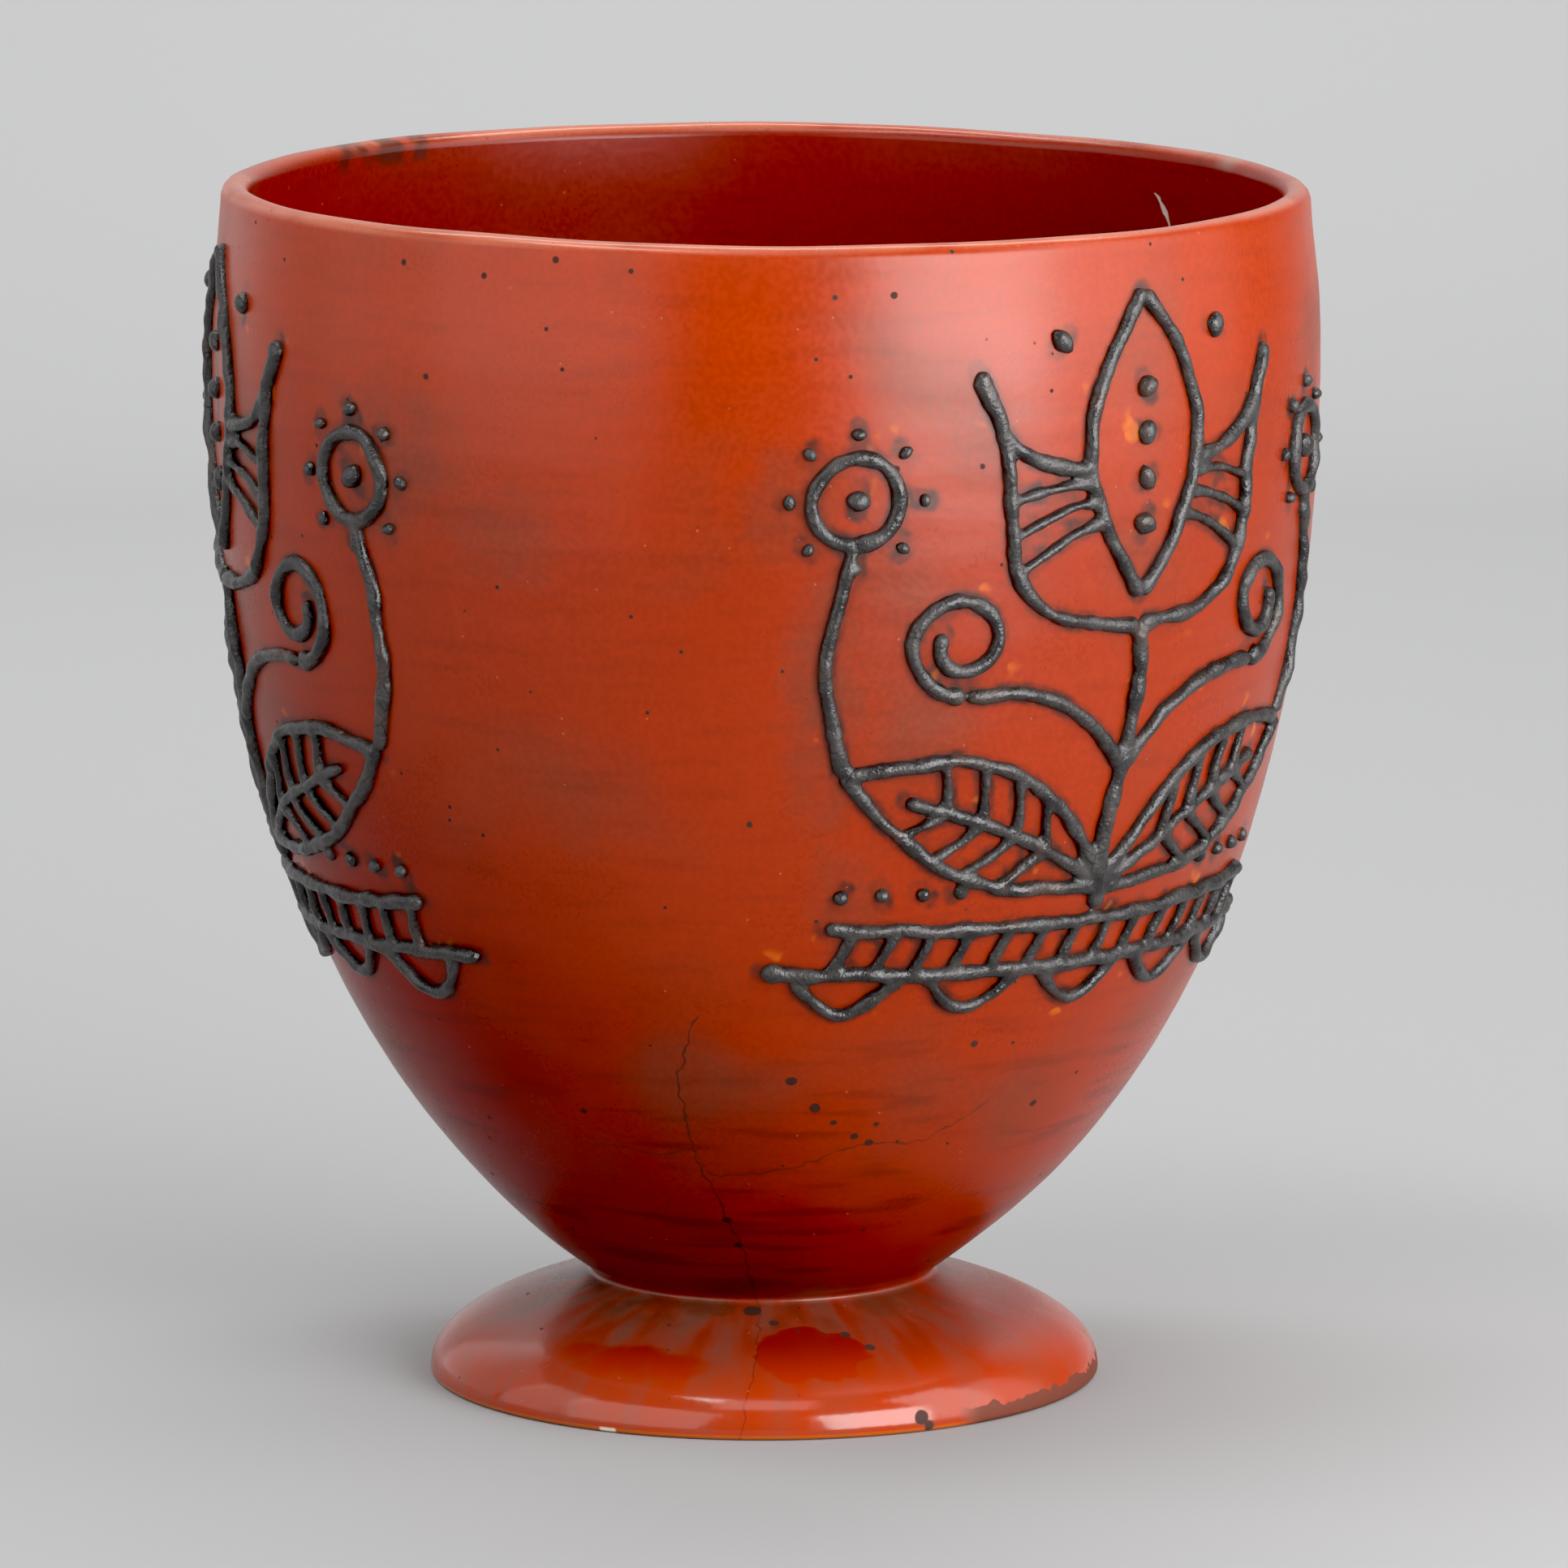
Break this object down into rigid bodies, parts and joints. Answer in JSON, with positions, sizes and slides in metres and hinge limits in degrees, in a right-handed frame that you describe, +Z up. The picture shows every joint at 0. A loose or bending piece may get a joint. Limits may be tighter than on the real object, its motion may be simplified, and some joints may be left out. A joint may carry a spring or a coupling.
{
  "type": "footed bowl",
  "caption": "Deep thrown terracotta bowl on a domed foot, open and empty, with raised black slip plants round its orange-red glazed wall.",
  "frame": {"origin": "on the bowl's axis, at the middle of the ring that it stands on", "axes": "+Z up along the bowl's axis, -Y towards the viewer of the picture"},
  "size_m": [0.2219, 0.2234, 0.241],
  "materials": {
    "red_glaze": "satin to glossy orange-red glaze over terracotta, with pinholes, fine crazing cracks and smoky brown clouds",
    "black_slip": "raised charcoal slip, satin and lightly pitted"
  },
  "bodies": {
    "root": {"footed_bowl": "red_glaze"}
  },
  "joints": []
}
